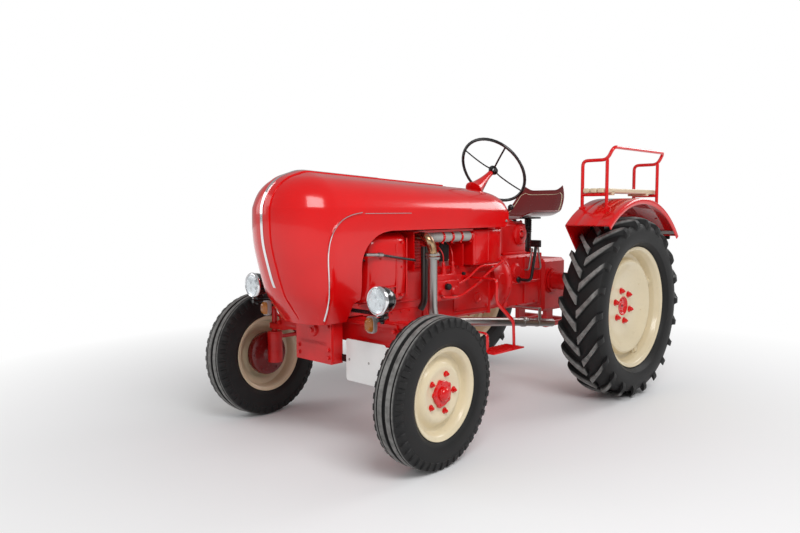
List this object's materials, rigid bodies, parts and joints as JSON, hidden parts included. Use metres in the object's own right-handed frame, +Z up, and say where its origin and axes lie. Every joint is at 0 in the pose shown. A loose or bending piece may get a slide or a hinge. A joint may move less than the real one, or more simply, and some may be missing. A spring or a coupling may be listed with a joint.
{
  "type": "farm tractor",
  "caption": "Small vintage farm tractor with a rounded nose-hinged hood, steered front wheels, large rear wheels and a bench on one fender.",
  "frame": {"origin": "on the ground below the middle of the machine's box", "axes": "+Z up, -Y forward, +X the tractor's left side"},
  "size_m": [1.605, 2.885, 1.6519],
  "materials": {
    "red_paint": "glossy red enamel",
    "dark_red_paint": "dark red enamel",
    "cream_paint": "satin cream enamel",
    "black_paint": "black enamel",
    "tyre": "matt black rubber",
    "chrome": "bright chrome and black bowl",
    "polished_steel": "polished steel tube",
    "heat_tinted_steel": "heat tinted steel",
    "cast_grey": "cast aluminium",
    "white_plate": "plain white",
    "amber_lens": "clear amber plastic",
    "red_lens": "clear red plastic",
    "black_plastic": "hard black rubber rim"
  },
  "bodies": {
    "chassis": {"front_support": "red_paint", "front_axle": "red_paint", "crankcase": "red_paint", "cylinder_bank": "red_paint", "fan_housing": "red_paint", "side_box": "red_paint", "intake_pipe": "cast_grey", "injection_pump": "red_paint", "air_cleaner": "black_paint", "dynamo": "black_paint", "exhaust_elbow": "heat_tinted_steel", "exhaust_pipe": "polished_steel", "bell_housing": "red_paint", "gearbox": "red_paint", "rear_axle_housing": "red_paint", "final_drive_left": "red_paint", "final_drive_right": "red_paint", "cowl": "red_paint", "steering_column": "red_paint", "steering_box": "red_paint", "gear_lever": "black_paint", "clutch_pedal": "black_paint", "brake_pedal": "black_paint", "seat_pan": "dark_red_paint", "seat_bracket": "black_paint", "fender_left": "red_paint", "fender_right": "red_paint", "passenger_rail": "red_paint", "passenger_bench": "cream_paint", "headlight_left": "chrome", "headlight_right": "chrome", "signal_left": "amber_lens", "signal_right": "amber_lens", "lamp_bracket_left": "black_paint", "lamp_bracket_right": "black_paint", "tail_lamp_left": "red_lens", "tail_lamp_right": "red_lens", "plate_bracket": "black_paint", "number_plate": "white_plate", "foot_step_left": "red_paint", "foot_step_right": "red_paint", "hitch_frame": "red_paint", "power_shaft": "polished_steel", "drawbar": "red_paint"},
    "hood": {"hood": "red_paint"},
    "steering_wheel": {"steering_wheel": "black_plastic"},
    "knuckle_left": {"knuckle_left": "red_paint"},
    "knuckle_right": {"knuckle_right": "red_paint"},
    "tie_rod": {"tie_rod": "black_paint"},
    "front_wheel_left": {"front_tyre_left": "tyre", "front_rim_left": "cream_paint"},
    "front_wheel_right": {"front_tyre_right": "tyre", "front_rim_right": "cream_paint"},
    "rear_wheel_left": {"rear_tyre_left": "tyre", "rear_rim_left": "cream_paint"},
    "rear_wheel_right": {"rear_tyre_right": "tyre", "rear_rim_right": "cream_paint"}
  },
  "joints": [
    {"name": "hood_tilt", "type": "hinge", "parent": "chassis", "child": "hood", "pos_m": [0, -1.207, 0.7], "axis": [1, 0, 0], "range_deg": [0, 75]},
    {"name": "steering_wheel_turn", "type": "hinge", "parent": "chassis", "child": "steering_wheel", "pos_m": [0, 0.368, 1.45], "axis": [0, 0.8351, 0.5501], "range_deg": [-456, 384]},
    {"name": "steer_left", "type": "hinge", "parent": "chassis", "child": "knuckle_left", "pos_m": [0.56, -0.972, 0.5], "axis": [0, 0, 1], "range_deg": [-38, 32]},
    {"name": "steer_right", "type": "hinge", "parent": "chassis", "child": "knuckle_right", "pos_m": [-0.56, -0.972, 0.5], "axis": [0, 0, 1], "range_deg": [-38, 32]},
    {"name": "tie_rod_swing", "type": "hinge", "parent": "knuckle_left", "child": "tie_rod", "pos_m": [0.55163, -0.81222, 0.49], "axis": [0, 0, 1], "range_deg": [-32, 38]},
    {"name": "front_left_spin", "type": "hinge", "parent": "knuckle_left", "child": "front_wheel_left", "pos_m": [0.67473, -0.96599, 0.35877], "axis": [0.9977, 0.0523, -0.0436], "continuous": true},
    {"name": "front_right_spin", "type": "hinge", "parent": "knuckle_right", "child": "front_wheel_right", "pos_m": [-0.67473, -0.97801, 0.35877], "axis": [-0.9977, -0.0523, -0.0436], "continuous": true},
    {"name": "rear_left_spin", "type": "hinge", "parent": "chassis", "child": "rear_wheel_left", "pos_m": [0.66, 0.868, 0.575], "axis": [1, 0, 0], "continuous": true},
    {"name": "rear_right_spin", "type": "hinge", "parent": "chassis", "child": "rear_wheel_right", "pos_m": [-0.66, 0.868, 0.575], "axis": [1, 0, 0], "continuous": true}
  ],
  "couplings": [
    {"joint": "steer_right", "follows": "steer_left", "ratio": 1},
    {"joint": "tie_rod_swing", "follows": "steer_left", "ratio": -1},
    {"joint": "steering_wheel_turn", "follows": "steer_left", "ratio": 12}
  ]
}
